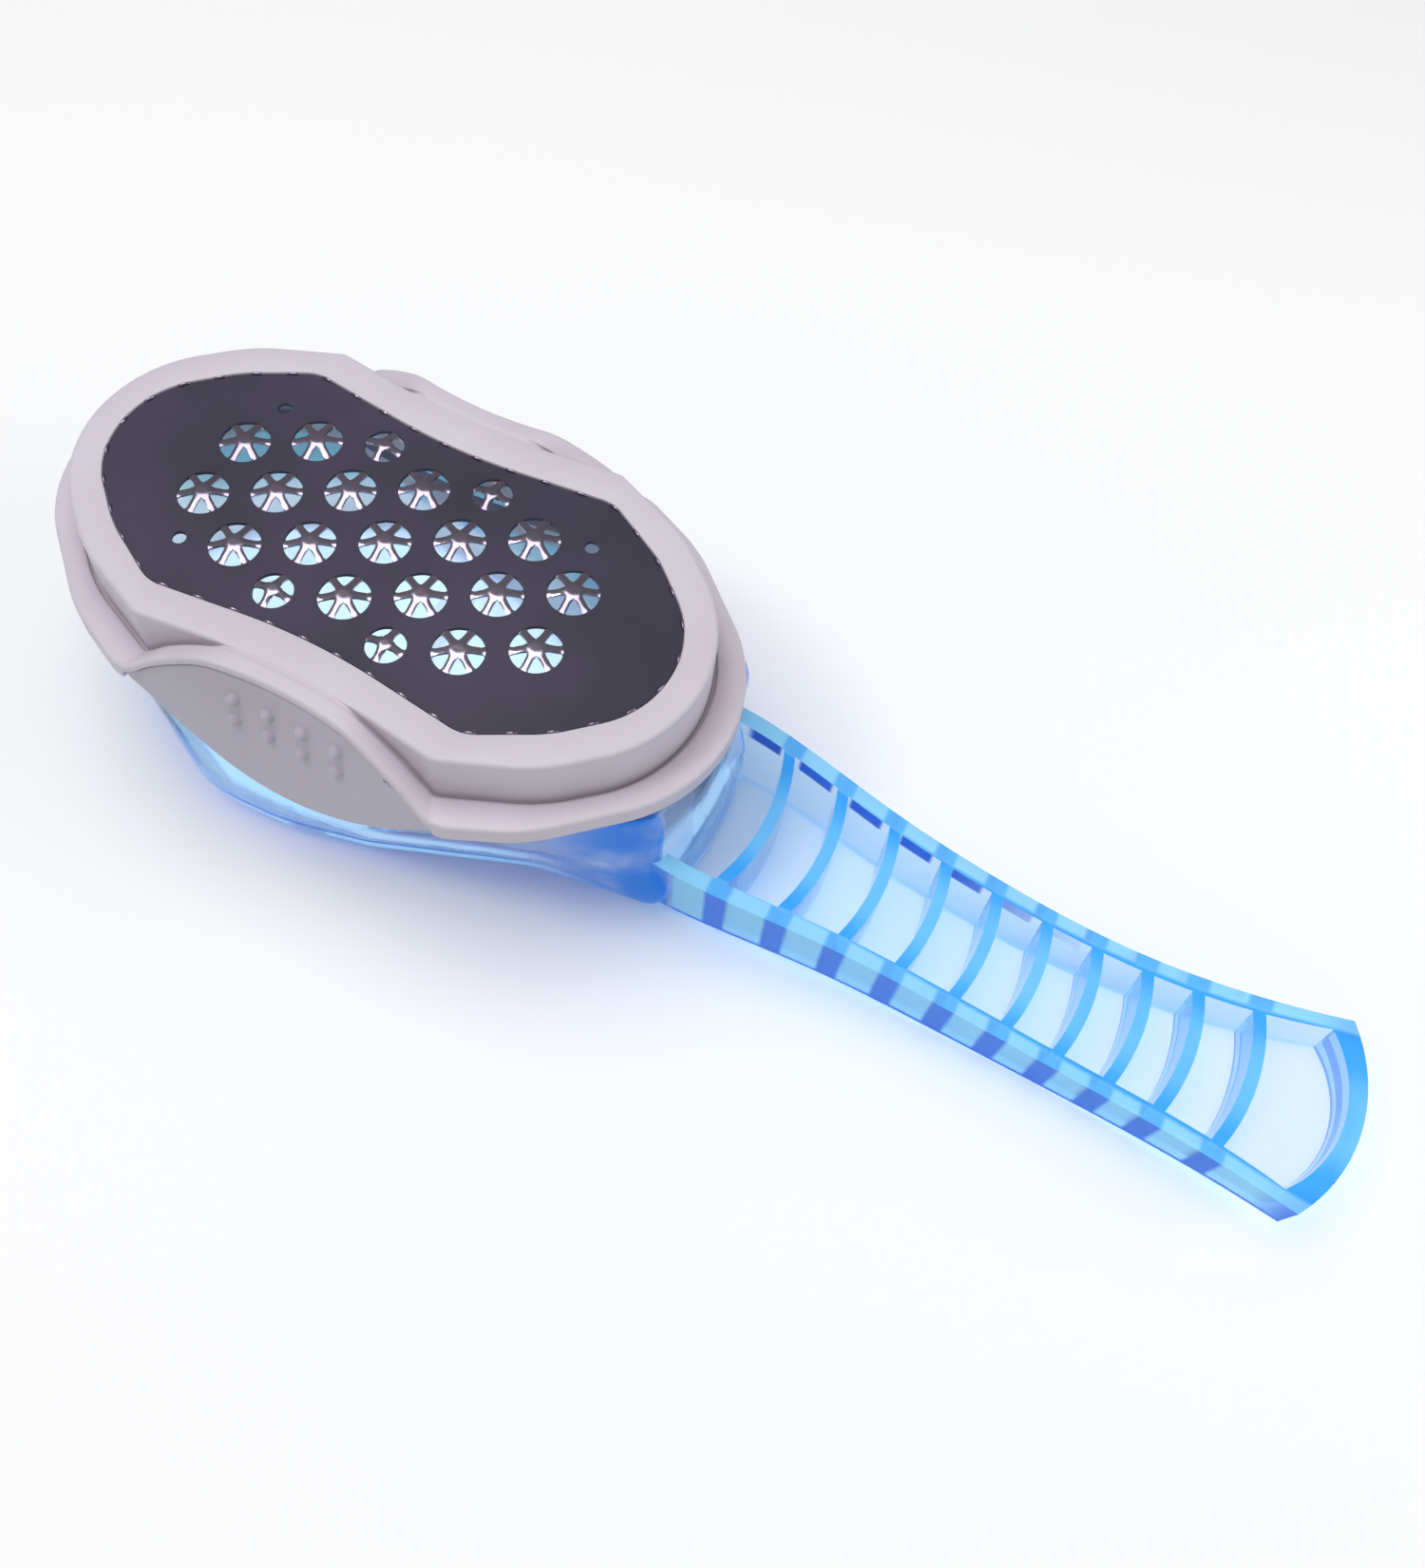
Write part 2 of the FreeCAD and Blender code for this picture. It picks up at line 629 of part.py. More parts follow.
def make_tray(document, sheet):
    """The bowl, its neck and the ribbed handle, in one moulding."""
    hull = solid_feature(document, "BowlHull", bowl_solid(sheet, 0.0, sheet.get("tray_top"),
                                                          sheet.get("rest_depth")))
    outer_plan = solid_feature(document, "HandlePlan", drafted_handle(sheet, 0.0, 0.0))
    rail, belly, reach = read_curve(sheet, "rail"), read_curve(sheet, "belly"), sheet.get("cutter_reach")
    outer_slab = solid_feature(document, "HandleProfile", profile_slab(rail, belly, reach))
    grip = boolean(document, "Common", "HandleBlock", outer_plan, outer_slab)
    inner_plan = solid_feature(document, "TroughPlan",
                               drafted_handle(sheet, sheet.get("rail_width"), sheet.get("end_wall")))
    lifted = [(x, depth - sheet.get("draft_top")) for x, depth in rail]
    inner_slab = solid_feature(document, "TroughProfile",
                               profile_slab(lifted, belly, reach, sheet.get("handle_floor")))
    trough = boolean(document, "Common", "Trough", inner_plan, inner_slab)
    rib_space = boolean(document, "Common", "RibSpace", trough, outer_slab)
    bands = Part.makeCompound([rib_band(sheet, centre) for centre in rib_centres(sheet)])
    ribs = boolean(document, "Common", "Ribs", solid_feature(document, "RibBands", bands), rib_space)
    open_grip = boolean(document, "Cut", "OpenHandle", grip, trough)
    joined = fuse_all(document, "TrayBlock", [hull, open_grip, ribs])
    cavity = solid_feature(document, "BowlCavity",
                           bowl_solid(sheet, sheet.get("tray_wall"), sheet.get("tray_top"),
                                      sheet.get("rest_depth") - sheet.get("tray_floor")))
    tray = boolean(document, "Cut", "handle_tray", joined, cavity)
    tray.Label = "handle_tray"
    return tray


# ---------------------------------------------------------------- assembly

def place(part):
    """Move a sub-part from the plate's frame to the part's own frame, through the sheet."""
    part.setExpression("Placement.Base.x", "(Dimensions.head_length / 2 - Dimensions.handle_reach) / 2")
    part.setExpression("Placement.Base.z", "Dimensions.rest_depth")


def check(document, parts):
    """Stop if any object failed, or any sub-part is empty, invalid or not one solid."""
    for item in document.Objects:
        if "Invalid" in item.State or "Error" in item.State:
            raise RuntimeError(f"{item.Name} failed: {item.State}")
    for part in parts:
        shape = part.Shape
        if shape.isNull() or not shape.isValid():
            raise RuntimeError(f"{part.Label} has a bad shape")
        if len(shape.Solids) != 1:
            raise RuntimeError(f"{part.Label} has {len(shape.Solids)} solids")


def main():
    """Build the document, check it and write one STEP file for each sub-part."""
    document = FreeCAD.newDocument("FootRasp")
    sheet = fill_sheet(document)
    parts = [
        make_tray(document, sheet),
        make_head_frame(document, sheet),
        make_rasp_plate(document, sheet),
        make_tab(document, sheet, "release_tab_left", -1),
        make_tab(document, sheet, "release_tab_right", 1),
    ]
    for part in parts:
        place(part)
    document.recompute()
    check(document, parts)
    os.makedirs("parts", exist_ok=True)
    for part in parts:
        part.Shape.exportStep(f"parts/{part.Label}.step")
        box = part.Shape.BoundBox
        print(part.Label, f"volume {part.Shape.Volume:.0f}",
              f"x {box.XMin:.2f}..{box.XMax:.2f} y {box.YMin:.2f}..{box.YMax:.2f}",
              f"z {box.ZMin:.2f}..{box.ZMax:.2f}")


main()
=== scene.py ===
from math import atan2, cos, hypot, pi, radians, sin, tan

import bmesh
import bpy
from mathutils import Matrix, Vector
from mathutils.geometry import delaunay_2d_cdt


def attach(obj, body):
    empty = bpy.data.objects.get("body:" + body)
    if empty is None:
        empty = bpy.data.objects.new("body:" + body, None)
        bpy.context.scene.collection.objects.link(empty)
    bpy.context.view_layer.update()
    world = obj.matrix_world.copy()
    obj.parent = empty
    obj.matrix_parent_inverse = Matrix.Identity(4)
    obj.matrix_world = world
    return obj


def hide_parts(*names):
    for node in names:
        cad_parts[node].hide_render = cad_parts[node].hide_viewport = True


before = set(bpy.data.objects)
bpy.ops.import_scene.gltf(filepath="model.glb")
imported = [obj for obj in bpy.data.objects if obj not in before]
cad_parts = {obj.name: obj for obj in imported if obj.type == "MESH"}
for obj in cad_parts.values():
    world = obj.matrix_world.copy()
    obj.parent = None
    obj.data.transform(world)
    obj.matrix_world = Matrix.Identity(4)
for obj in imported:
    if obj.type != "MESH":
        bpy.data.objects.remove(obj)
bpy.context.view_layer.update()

MM = 0.001
# The plate's centre, on its top face, in the frame's own coordinates, in millimetres.
PLATE_X = -46.95
PLATE_Z = 45.5

# Corners of the outlines in one quarter, from the handle end round to the waist: x, y, radius.
PLATE = ((42.9, 6.3, 13.9), (33.5, 14.9, 20.0), (23.9, 20.2, 6.0), (0.0, 17.3, 88.0))
DECK = ((47.4, 9.1, 20.0), (34.7, 20.2, 24.0), (22.6, 25.3, 2.5), (0.0, 22.5, 88.0))
FLANGE = ((52.2, 9.7, 21.8), (35.3, 25.0, 24.0), (24.8, 29.8, 7.0), (0.0, 25.0, 60.0))
FRAME_STEPS = (14, 12)
PLATE_STEPS = (18, 16)

# Heights and thicknesses of the head frame, with the plate's top face at 0.
RIM_RISE = 0.3
PLATE_THICKNESS = 0.6
DECK_UNDER = -3.0
FLANGE_TOP = -8.5
FLANGE_BOTTOM = -12.0
FRAME_WALL = 2.2
# The plate's seat in section: inset from the plate's outline, and height.
SEAT = ((2.2, DECK_UNDER), (2.2, -0.9), (1.9, -0.6), (-0.12, -0.6), (-0.12, 0.0), (-0.20, 0.2),
        (-0.42, RIM_RISE))
EDGE_STEPS = 5
DECK_EDGE = 0.6
CLOSED_EDGE = 0.05
FLANGE_EDGE = 0.55
UNDER_EDGE = 0.35
# The crevice between deck and outer band: its width, its depth and its soft corners.
CREVICE = 0.55
CREVICE_DEPTH = 1.3
CREVICE_SOFT = 0.25
CREVICE_LIPS = (0.1, 0.45)
CREVICE_START = (9.0, 12.5)

# The outer band swoops down from the deck's level at the waist to the flange, as shares of its reach.
LIP_FLAT = 9.5
LIP_REACH = 24.5
LIP_POINTS = ((0.0, 0.0), (0.22, 0.10), (0.62, 0.52), (0.87, 0.92), (1.0, 1.0))
LIP_THICKNESS = 1.3
RECESS_END = (23.9, 24.5)
RECESS_DEPTH = 2.1

# The release tabs: half their length, heights, and their skin's place at the crest and shoulder.
TAB_GAP = 0.3
TAB_THICKNESS = 1.5
TAB_HALF = 24.0
TAB_BOTTOM = -22.8
TAB_END_LOW = -12.0
TAB_BELLY = 0.72
TAB_CREST = (26.05, 4.65)
TAB_SHOULDER = (29.85, -1.40)
TAB_SHOULDER_AT = 27.0
TAB_SOFT = (0.35, 0.6)
TAB_GRID = (210, 96)
DOT_RADIUS = 1.0
DOT_RISE = 1.0
DOT_MIDDLE = 1.2
DOT_TOP_ROW = -5.8
DOT_STEPS = (5.3, 4.2)
DOT_COUNTS = (4, 2)
# A tab's small slot: its place along and down, half its width and height, and its depth.
NOTCH = (17.6, -6.0, 0.8, 0.35, 0.9)

# The bowl's rim in its +Y half, and the ring that hangs inside it.
BOWL_RIM = ((50.6, 4.5, 16.0), (48.5, 13.4, 2.5), (34.6, 23.6, 22.0), (25.5, 26.6, 9.0),
            (0.0, 23.2, 60.0), (-25.5, 26.2, 9.0), (-34.6, 23.4, 22.0), (-50.8, 9.4, 20.0))
PLUG_INSET = 4.1
PLUG_WALL = 1.6
PLUG_BOTTOM = -15.0
PLUG_BEVEL = 0.4
PLUG_OVERLAP = 0.5
PLUG_STEPS = (8, 4)
SHARPEST = 0.3

# The cutting flowers: lattice steps, radii, spokes and hubs; and the small round vents.
LATTICE_X = 8.660
LATTICE_Y = 5.0
SMALL_ROW = 2.74
LARGE_RADIUS = 3.55
LARGE_HUB = 1.35
SMALL_RADIUS = 2.75
SMALL_HUB = 1.05
SPOKE_WIDTH = 1.0
SPOKE_FLARE = 0.55
SPOKE_CURL = 0.10
SPOKE_THICKNESS = 0.35
SPOKE_GRID = (14, 8)
SPOKE_OVERLAP = 0.25
HUB_RISE = 0.7
RIM_SINK = 0.06
VENTS = ((-2.83, 2.52), (-2.82, -2.53), (2.85, 2.51))
VENT_RADIUS = 1.0

# The bites and burrs round the plate's edge.
BURR_PITCH = 5.2
BURR_LENGTH = 2.0
BURR_WIDTH = 0.5
BURR_RISE = 0.42
BURR_ROOT = -0.2
BURR_GRID = (16, 4)
BITE_DEPTH = 0.16
BITE_WIDTH = 0.16

# The handle seen from the side: the rails' top and the belly, as place along it and depth.
RAIL = ((44.0, 24.3), (58.0, 26.6), (84.0, 31.7), (114.0, 35.3), (130.0, 34.4), (150.0, 32.0))
BELLY = ((44.0, 40.6), (58.0, 40.6), (80.0, 43.4), (108.0, 45.3), (128.0, 43.2), (150.0, 38.4))
# The handle seen from above: place along it and half width.
SIDE = ((44.0, 13.4), (51.0, 14.0), (58.0, 13.7), (74.0, 12.0), (92.0, 11.3), (112.0, 11.6),
        (128.0, 12.8), (141.7, 15.0), (146.1, 15.4))
CURVE_SCALE = 50.0
FIRST_RIB = 58.3
RIB_PITCH = 8.7
RIB_PITCH_CHANGE = 0.22
RIB_COUNT = 10
LAST_RIB_EXTRA = 1.4
RIB_HALF = 1.6
RIB_BLUR = 0.35

# How the clear plastic is tinted: colours over one another, as area, strength and colour.
# Some tints are painted shade and painted light: strong blue shade low down and under the rails, teal shade
# on the bowl's inner walls and a pale glow on the bowl's floor.
CLEAR = ((0.84, 0.90, 0.97), (0.90, 0.945, 0.985))
RAIL_BLUE = ((0.28, 0.72, 1.0), (0.42, 0.80, 1.0))
RIB_BLUE = ((0.11, 0.50, 0.97), (0.26, 0.68, 1.0))
RIB_END_BLUE = (0.06, 0.42, 0.96)
TINTS = (("rail_joints", 0.8, (0.09, 0.45, 0.95)), ("floor", 0.9, (0.79, 0.82, 0.88)),
         ("rib_sides", 0.7, (0.55, 0.78, 0.93)), ("bowl_wall_painted_shade", 0.8, (0.22, 0.60, 0.72)),
         ("bowl_floor_painted_light", 1.0, (0.72, 0.86, 0.90)), ("skirt", 0.95, (0.32, 0.78, 1.0)),
         ("neck_cloud", 1.0, (0.012, 0.22, 0.84)), ("joints", 0.97, (0.008, 0.17, 0.86)),
         ("painted_shade_blue", 0.95, (0.012, 0.16, 0.90)))
# How much light each area scatters instead of letting it through.
SCATTER = (("tops", 0.72), ("painted_shade_blue", 0.9), ("skirt", 0.55), ("joints", 0.94), ("neck", 0.92),
           ("floor", 0.74), ("rib_sides", 0.2), ("bowl_floor_painted_light", 0.5), ("bowl_wall_painted_shade", 0.45))
CLEARNESS = 0.96
# Painted light: how strongly the bowl's floor glows, though no lamp is there.
BOWL_PAINTED_GLOW = 0.52
LAMP_TINT = (0.84, 0.91, 0.98, 1)
DEPTH_TINT = (0.03, 0.62, 0.96, 1)
DEPTH_DENSITY = 105.0


def link(obj):
    """Put an object in the scene."""
    bpy.context.scene.collection.objects.link(obj)
    return obj


def to_frame(point):
    """A point in the plate's frame, in millimetres, as frame coordinates in metres."""
    return Vector(((point[0] + PLATE_X) * MM, point[1] * MM, (point[2] + PLATE_Z) * MM))


# ---------------------------------------------------------------- outlines

def mirrored_corners(quarter):
    """All the corners of an outline that is alike in its four quarters."""
    ends = list(quarter[:-1])
    half = ends + [quarter[-1]] + [(-x, y, r) for x, y, r in reversed(ends)]
    return half + [(x, -y, r) for x, y, r in reversed(half)]


def corner_turn(before, corner, after):
    """Directions into and out of a corner, and its signed turn."""
    into = Vector((corner[0] - before[0], corner[1] - before[1])).normalized()
    out = Vector((after[0] - corner[0], after[1] - corner[1])).normalized()
    return into, out, atan2(into.x * out.y - into.y * out.x, into.dot(out))


def corner_arc(before, corner, after, steps, inset):
    """Points round one rounded corner, moved inwards."""
    into, _, turn = corner_turn(before, corner, after)
    side = 1 if turn > 0 else -1
    normal = Vector((-into.y, into.x)) * side
    centre = Vector(corner[:2]) - into * (corner[2] * tan(abs(turn) / 2)) + normal * corner[2]
    spoke = -normal
    points = []
    for k in range(steps + 1):
        angle = turn * k / steps
        turned = Vector((spoke.x * cos(angle) - spoke.y * sin(angle),
                         spoke.x * sin(angle) + spoke.y * cos(angle)))
        points.append(centre + turned * (corner[2] - inset * side))
    return points


def sample_outline(corners, steps, inset=0.0):
    """Points round a rounded outline, moved inwards: the same number for every outline of a kind."""
    per_arc, per_line = steps
    count = len(corners)
    arcs = [corner_arc(corners[i - 1], corner, corners[(i + 1) % count], per_arc, inset)
            for i, corner in enumerate(corners)]
    points = []
    for i, arc in enumerate(arcs):
        following = arcs[(i + 1) % count][0]
        points += arc
        points += [arc[-1].lerp(following, k / per_line) for k in range(1, per_line)]
    return points


def inset_corners(corners, distance):
    """Corners of an outline moved inwards, each with its rounding kept parallel."""
    moved = []
    for i, corner in enumerate(corners):
        into, out, turn = corner_turn(corners[i - 1], corner, corners[(i + 1) % len(corners)])
        normal = Vector((-into.y - out.y, into.x + out.x)).normalized()
        shift = normal * (distance / cos(turn / 2))
        radius = corner[2] - distance if turn > 0 else corner[2] + distance
        moved.append((corner[0] + shift.x, corner[1] + shift.y, max(radius, SHARPEST)))
    return moved


def path_lengths(outline):
    """Distance along a closed outline to each of its points, and its whole length."""
    total, lengths = 0.0, []
    for a, b in zip(outline, outline[1:] + outline[:1]):
        lengths.append(total)
        total += (b - a).length
    return lengths, total


# ---------------------------------------------------------------- mesh helpers

def smooth_step(low, high, value):
    """0 below low, 1 above high and an easy curve between."""
    share = min(max((value - low) / (high - low), 0.0), 1.0)
    return share * share * (3 - 2 * share)


def mesh_object(name, verts, faces, smooth_angle):
    """A new mesh object in the frame's coordinates, smooth except at creases."""
    mesh = bpy.data.meshes.new(name)
    mesh.from_pydata([tuple(to_frame(v)) for v in verts], [], faces)
    bm = bmesh.new()
    bm.from_mesh(mesh)
    bmesh.ops.remove_doubles(bm, verts=bm.verts, dist=1e-7)
    bmesh.ops.recalc_face_normals(bm, faces=bm.faces)
    for face in bm.faces:
        face.smooth = True
    for edge in bm.edges:
        edge.smooth = not (edge.is_manifold and edge.calc_face_angle() > radians(smooth_angle))
    bm.to_mesh(mesh)
    bm.free()
    return link(bpy.data.objects.new(name, mesh))


def ring_object(name, rings, smooth_angle):
    """A closed solid through rings of equal length, the last joined to the first."""
    verts = [point for ring in rings for point in ring]
    count = len(rings[0])
    faces = []
    for i in range(len(rings)):
        j = (i + 1) % len(rings)
        for k in range(count):
            following = (k + 1) % count
            faces.append((i * count + k, i * count + following, j * count + following, j * count + k))
    return mesh_object(name, verts, faces, smooth_angle)


def flat_ring(outline, heights):
    """A ring at the given heights, one for each point or the same for all."""
    if not isinstance(heights, list):
        heights = [heights] * len(outline)
    return [(p[0], p[1], z) for p, z in zip(outline, heights)]


def grid_faces(base, rows, columns):
    """The quads of a grid of points whose columns follow one another."""
    faces = []
    for i in range(rows):
        for j in range(columns):
            a = base + i * (columns + 1) + j
            faces.append((a, a + columns + 1, a + columns + 2, a + 1))
    return faces


def thicken(verts, faces, partner_of):
    """Close an open sheet into a solid: partner_of gives each point's partner below."""
    count = len(verts)
    used = {}
    for face in faces:
        for pair in zip(face, face[1:] + face[:1]):
            used[pair] = True
    lower = [partner_of(v) for v in verts]
    walls = [(a + count, b + count, b, a) for a, b in used if (b, a) not in used]
    under = [tuple(i + count for i in reversed(face)) for face in faces]
    return list(verts) + lower, list(faces) + under + walls


# ---------------------------------------------------------------- head frame

def lip_slope(index):
    """Slope of the lip's curve at one of LIP_POINTS: level at both ends."""
    if index in (0, len(LIP_POINTS) - 1):
        return 0.0
    (before, low), (after, high) = LIP_POINTS[index - 1], LIP_POINTS[index + 1]
    return (high - low) / (after - before)


def lip_fall(share):
    """How far down the lip has swooped at a share of its reach: a smooth curve through LIP_POINTS."""
    for index, ((start, first), (end, last)) in enumerate(zip(LIP_POINTS, LIP_POINTS[1:])):
        if share <= end:
            span = end - start
            t = (share - start) / span
            square, cube = t * t, t ** 3
            leaving = lip_slope(index) * span
            arriving = lip_slope(index + 1) * span
            return ((2 * cube - 3 * square + 1) * first + (cube - 2 * square + t) * leaving
                    + (3 * square - 2 * cube) * last + (cube - square) * arriving)
    return 1.0


def lip_height(x):
    """Height of the frame's outer band: level with the deck at the waist, down to the flange."""
    share = (abs(x) - LIP_FLAT) / (LIP_REACH - LIP_FLAT)
    if share <= 0:
        return RIM_RISE
    return RIM_RISE - (RIM_RISE - FLANGE_TOP) * lip_fall(min(share, 1.0))


def frame_outline(quarter, inset=0.0):
    """One of the head frame's outlines: they all have the same number of points."""
    return sample_outline(mirrored_corners(quarter), FRAME_STEPS, inset)


def rounded_edge(inner, outer, heights, radii):
    """Rings over an outer top edge: from the flat, round a quarter circle, to the wall below."""
    rings = []
    for k in range(EDGE_STEPS + 1):
        angle = pi / 2 * k / EDGE_STEPS
        ring = []
        for a, b, height, radius in zip(inner, outer, heights, radii):
            point = a.lerp(b, sin(angle))
            ring.append((point.x, point.y, height - radius * (1 - cos(angle))))
        rings.append(ring)
    return rings


def deck_rings(band, opened):
    """The raised deck's soft edge and wall, and the crevice between it and the outer band."""
    deck = frame_outline(DECK)
    radii = [DECK_EDGE * share + CLOSED_EDGE * (1 - share) for share in opened]
    inner = [b.lerp(a, radius / DECK_EDGE)
             for a, b, radius in zip(frame_outline(DECK, DECK_EDGE), deck, radii)]
    rings = rounded_edge(inner, deck, [RIM_RISE] * len(deck), radii)
    wall = [min(height - CREVICE_DEPTH * share - 0.02, RIM_RISE - radius)
            for height, share, radius in zip(band, opened, radii)]
    bottom = [min(z + CREVICE_SOFT * share, height - 0.03)
              for z, share, height in zip(wall, opened, band)]
    shoulder = [height - CREVICE_SOFT * share for height, share in zip(band, opened)]
    rings.append(flat_ring(deck, wall))
    rings.append(flat_ring(frame_outline(DECK, -CREVICE), bottom))
    rings.append(flat_ring(frame_outline(DECK, -CREVICE - CREVICE_LIPS[0]), shoulder))
    rings.append(flat_ring(frame_outline(DECK, -CREVICE - CREVICE_LIPS[1]), band))
    return rings


def blended(first, second, shares):
    """An outline between two outlines, with a share for each point."""
    return [(b.x * share + a.x * (1 - share), b.y * share + a.y * (1 - share))
            for a, b, share in zip(first, second, shares)]


def under_rings(flange, band):
    """The band's lower edge, the recesses that the tabs sit in, and the frame's hollow inside."""
    at_tab = [1 - smooth_step(*RECESS_END, abs(p.x)) for p in flange]
    lower = [max(height - LIP_THICKNESS, FLANGE_BOTTOM) * t + (FLANGE_BOTTOM + UNDER_EDGE) * (1 - t)
             for height, t in zip(band, at_tab)]
    lower_in = [z - UNDER_EDGE * (1 - t) - 0.1 * t for z, t in zip(lower, at_tab)]
    tucked = frame_outline(FLANGE, UNDER_EDGE)
    recess = blended(tucked, frame_outline(FLANGE, RECESS_DEPTH), at_tab)
    foot = blended(frame_outline(FLANGE, 0.5), frame_outline(FLANGE, RECESS_DEPTH + 0.1), at_tab)
    inside_wall = frame_outline(DECK, FRAME_WALL)
    return [flat_ring(flange, lower), flat_ring(tucked, lower_in),
            flat_ring(recess, [z - 0.02 for z in lower_in]),
            flat_ring(foot, FLANGE_BOTTOM - 0.001), flat_ring(inside_wall, FLANGE_BOTTOM),
            flat_ring(inside_wall, DECK_UNDER - 0.2),
            flat_ring(frame_outline(DECK, FRAME_WALL + 0.2), DECK_UNDER)]


def make_head_frame():
    """The moulded frame: plate recess, raised deck, crevice, swooping lip, flange and tab recesses."""
    flange = frame_outline(FLANGE)
    band = [lip_height(p.x) for p in flange]
    opened = [smooth_step(*CREVICE_START, abs(p.x)) for p in flange]
    rings = [flat_ring(frame_outline(PLATE, inset), height) for inset, height in SEAT]
    rings += deck_rings(band, opened)
    rings += rounded_edge(frame_outline(FLANGE, FLANGE_EDGE), flange, band, [FLANGE_EDGE] * len(flange))
    rings += under_rings(flange, band)
    return ring_object("frame_shell", rings, 38.0)


def make_plug():
    """The ring under the frame that centres it in the bowl."""
    corners = list(BOWL_RIM) + [(x, -y, r) for x, y, r in reversed(BOWL_RIM)]
    outer = sample_outline(inset_corners(corners, PLUG_INSET), PLUG_STEPS)
    inner = sample_outline(inset_corners(corners, PLUG_INSET + PLUG_WALL), PLUG_STEPS)
    bevelled = [a.lerp(b, 0.25) for a, b in zip(outer, inner)]
    rings = [flat_ring(outer, FLANGE_BOTTOM + PLUG_OVERLAP), flat_ring(outer, PLUG_BOTTOM + PLUG_BEVEL),
             flat_ring(bevelled, PLUG_BOTTOM), flat_ring(inner, PLUG_BOTTOM),
             flat_ring(inner, FLANGE_BOTTOM + PLUG_OVERLAP)]
    return ring_object("frame_plug_ring", rings, 50.0)


# ---------------------------------------------------------------- release tabs

def belly_height(x):
    """Height of a tab's lower edge."""
    share = abs(x) / TAB_HALF
    rise = TAB_BELLY * share * share + (1 - TAB_BELLY) * share ** 4
    return TAB_BOTTOM + (TAB_END_LOW - TAB_BOTTOM) * rise


def tab_skin(x, z):
    """How far from the middle plane a tab's outer skin is."""
    share = z / TAB_BOTTOM
    crest = TAB_CREST[0] + TAB_CREST[1] * share
    shoulder = TAB_SHOULDER[0] + TAB_SHOULDER[1] * share
    return crest + (shoulder - crest) * (x / TAB_SHOULDER_AT) ** 2


def dot_height(x, z):
    """Height of the finger dots over the skin."""
    columns, rows = DOT_COUNTS
    for row in range(rows):
        for column in range(columns):
            middle_x = DOT_MIDDLE + (column - (columns - 1) / 2) * DOT_STEPS[0]
            middle_z = DOT_TOP_ROW - row * DOT_STEPS[1]
            reach = hypot(x - middle_x, z - middle_z)
            if reach < DOT_RADIUS:
                return DOT_RISE * (1 - (reach / DOT_RADIUS) ** 2) ** 0.6
    return 0.0


def notch_depth(x, z):
    """Depth of the small slot at the handle-side end of a tab's upper edge."""
    along = abs(x - NOTCH[0]) / NOTCH[2]
    down = abs(z - NOTCH[1]) / NOTCH[3]
    return NOTCH[4] * (1 - smooth_step(0.7, 1.1, max(along, down)))


def make_tab(name, side):
    """A press tab: a bowed lens with soft edges and two rows of finger dots."""
    columns, rows = TAB_GRID
    verts = []
    for i in range(columns + 1):
        x = -TAB_HALF + 2 * TAB_HALF * i / columns
        top = lip_height(x) - LIP_THICKNESS - TAB_GAP
        low = belly_height(x)
        for j in range(rows + 1):
            z = top + (min(low, top - 0.4) - top) * j / rows
            edge = min(top - z, z - low, TAB_HALF - abs(x) + 0.2)
            soft = TAB_SOFT[0] * (1 - smooth_step(0.0, TAB_SOFT[1], edge)) ** 2
            verts.append((x, side * (tab_skin(x, z) - soft + dot_height(x, z) - notch_depth(x, z)), z))

    def inner(point):
        return point[0], side * (tab_skin(point[0], point[2]) - TAB_THICKNESS), point[2]

    tiles = [(a, b, c, d) for a, d, c, b in grid_faces(0, columns, rows)]
    verts, faces = thicken(verts, tiles, inner)
    return mesh_object(name, verts, faces, 50.0)


# ---------------------------------------------------------------- rasp plate

def lowered(depth):
    """A rule that puts a point's partner straight below it."""
    def partner(point):
        return point[0], point[1], point[2] - depth
    return partner


def flower_places():
    """Centres of the large and of the small flowers, on a triangular lattice."""
    large = [(3, 1), (3, -1), (2, 2), (2, 0), (2, -2), (1, 1), (1, -1)]
    large += [(-column, row) for column, row in large] + [(0, 2), (0, 0), (0, -2)]
    small = [(1, SMALL_ROW), (1, -SMALL_ROW), (-1, SMALL_ROW), (-1, -SMALL_ROW)]
    return [on_lattice(large), on_lattice(small)]


def on_lattice(places):
    """Points at the given columns and half rows of the flower lattice."""
    return [(column * LATTICE_X, row * LATTICE_Y) for column, row in places]


def fill_flat(outer, holes):
    """A flat triangulated region at height 0, between an outline and its holes."""
    points, edges = [], []
    for loop in [outer] + holes:
        first = len(points)
        points += loop
        edges += [(first + k, first + (k + 1) % len(loop)) for k in range(len(loop))]
    verts, _, faces, _, _, _ = delaunay_2d_cdt(points, edges, [], 0, 1e-6)
    kept = []
    for face in faces:
        centre = sum((verts[i] for i in face), Vector((0, 0))) / len(face)
        if inside(centre, outer) and not any(inside(centre, hole) for hole in holes):
            kept.append(tuple(face))
    return [(v.x, v.y, 0.0) for v in verts], kept


def inside(point, loop):
    """Whether a point is inside a closed loop."""
    crossings = False
    for a, b in zip(loop, loop[1:] + loop[:1]):
        if (a[1] > point[1]) != (b[1] > point[1]):
            if point[0] < a[0] + (point[1] - a[1]) / (b[1] - a[1]) * (b[0] - a[0]):
                crossings = not crossings
    return crossings


def circle(centre, radius, count):
    """Points round a circle."""
    angles = [2 * pi * k / count for k in range(count)]
    return [Vector((centre[0] + radius * cos(a), centre[1] + radius * sin(a))) for a in angles]


def plate_outline():
    """The plate's plain outline."""
    return sample_outline(mirrored_corners(PLATE), PLATE_STEPS)


def scalloped(outline):
    """The outline with shallow bites taken out of it at an even pitch."""
    lengths, total = path_lengths(outline)
    count = round(total / BURR_PITCH)
    points = []
    for k, (point, along) in enumerate(zip(outline, lengths)):
        ahead = (outline[(k + 1) % len(outline)] - outline[k - 1]).normalized()
        phase = along / total * count % 1.0
        bite = BITE_DEPTH * (1 - smooth_step(0.0, BITE_WIDTH, abs(phase - 0.5)))
        points.append(point + Vector((-ahead.y, ahead.x)) * bite)
    return points


